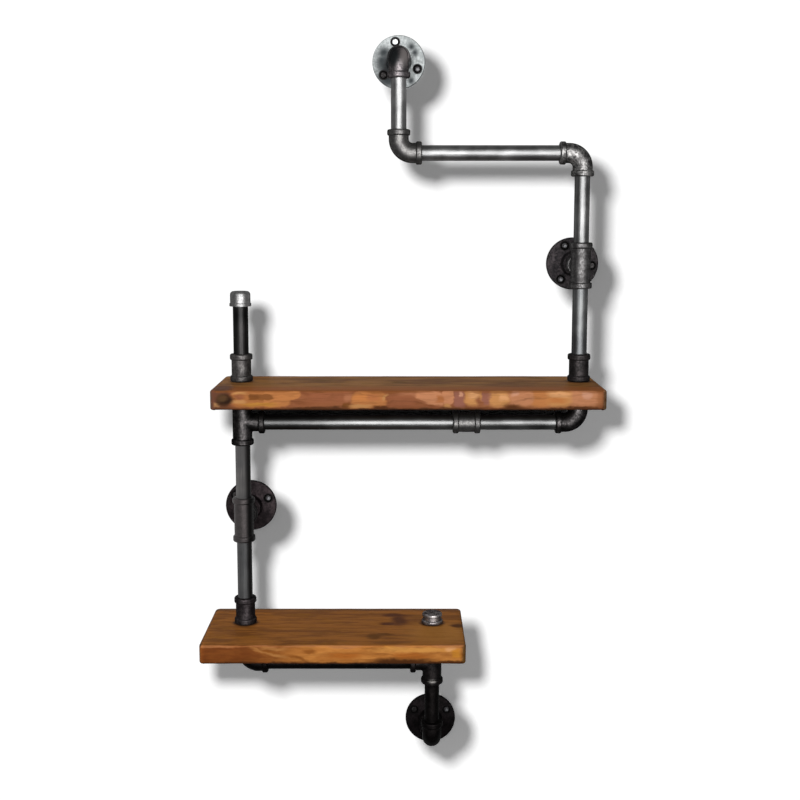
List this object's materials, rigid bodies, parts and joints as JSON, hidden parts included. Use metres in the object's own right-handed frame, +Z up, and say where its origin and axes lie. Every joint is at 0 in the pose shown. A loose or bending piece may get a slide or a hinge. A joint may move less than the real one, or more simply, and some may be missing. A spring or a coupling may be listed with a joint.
{
  "type": "pipe shelving unit",
  "caption": "Wall-hung shelf made of a bent line of threaded pipe on screwed wall flanges, carrying an upper and a lower wooden plank, with a capped post.",
  "frame": {"origin": "centre of the top flange's wall face", "axes": "+Z up along the wall, +Y into the wall, +X to the right as seen from the room"},
  "size_m": [0.567, 0.174, 1.061],
  "materials": {
    "pipe_steel": "clear-coated steel",
    "pipe_graphite": "satin graphite",
    "pipe_black": "satin black",
    "iron_grey": "oiled casting",
    "iron_graphite": "oiled casting",
    "iron_dark": "oiled casting",
    "flange_silver": "galvanised casting",
    "cap_silver": "galvanised",
    "cap_iron": "oiled casting",
    "wood_upper": "stained and waxed",
    "wood_lower": "stained and waxed"
  },
  "bodies": {
    "root": {"top_flange": "flange_silver", "top_flange_nipple": "pipe_steel", "top_elbow": "iron_grey", "top_drop_pipe": "pipe_steel", "upper_left_elbow": "iron_grey", "top_cross_pipe": "pipe_steel", "upper_right_elbow": "iron_grey", "right_pipe_upper": "pipe_steel", "right_tee": "iron_grey", "right_flange_nipple": "pipe_steel", "right_flange": "iron_dark", "right_pipe_lower": "pipe_steel", "right_board_socket": "iron_dark", "right_board_nipple": "pipe_steel", "right_under_elbow": "iron_grey", "under_pipe_right": "pipe_steel", "under_socket": "iron_grey", "under_pipe_left": "pipe_steel", "left_under_tee": "iron_graphite", "left_board_nipple": "pipe_graphite", "left_board_socket": "iron_graphite", "stub_pipe": "pipe_black", "stub_cap": "cap_silver", "left_pipe_upper": "pipe_graphite", "left_tee": "iron_graphite", "left_flange_nipple": "pipe_graphite", "left_flange": "iron_graphite", "left_pipe_lower": "pipe_graphite", "lower_board_socket": "iron_graphite", "lower_board_nipple_left": "pipe_graphite", "lower_under_elbow": "iron_dark", "lower_under_pipe": "pipe_graphite", "lower_under_tee": "iron_dark", "lower_board_nipple_right": "pipe_graphite", "lower_board_cap": "cap_iron", "bottom_nipple": "pipe_black", "bottom_elbow": "iron_dark", "bottom_flange_nipple": "pipe_black", "bottom_flange": "iron_dark", "upper_board": "wood_upper", "lower_board": "wood_lower"}
  },
  "joints": []
}
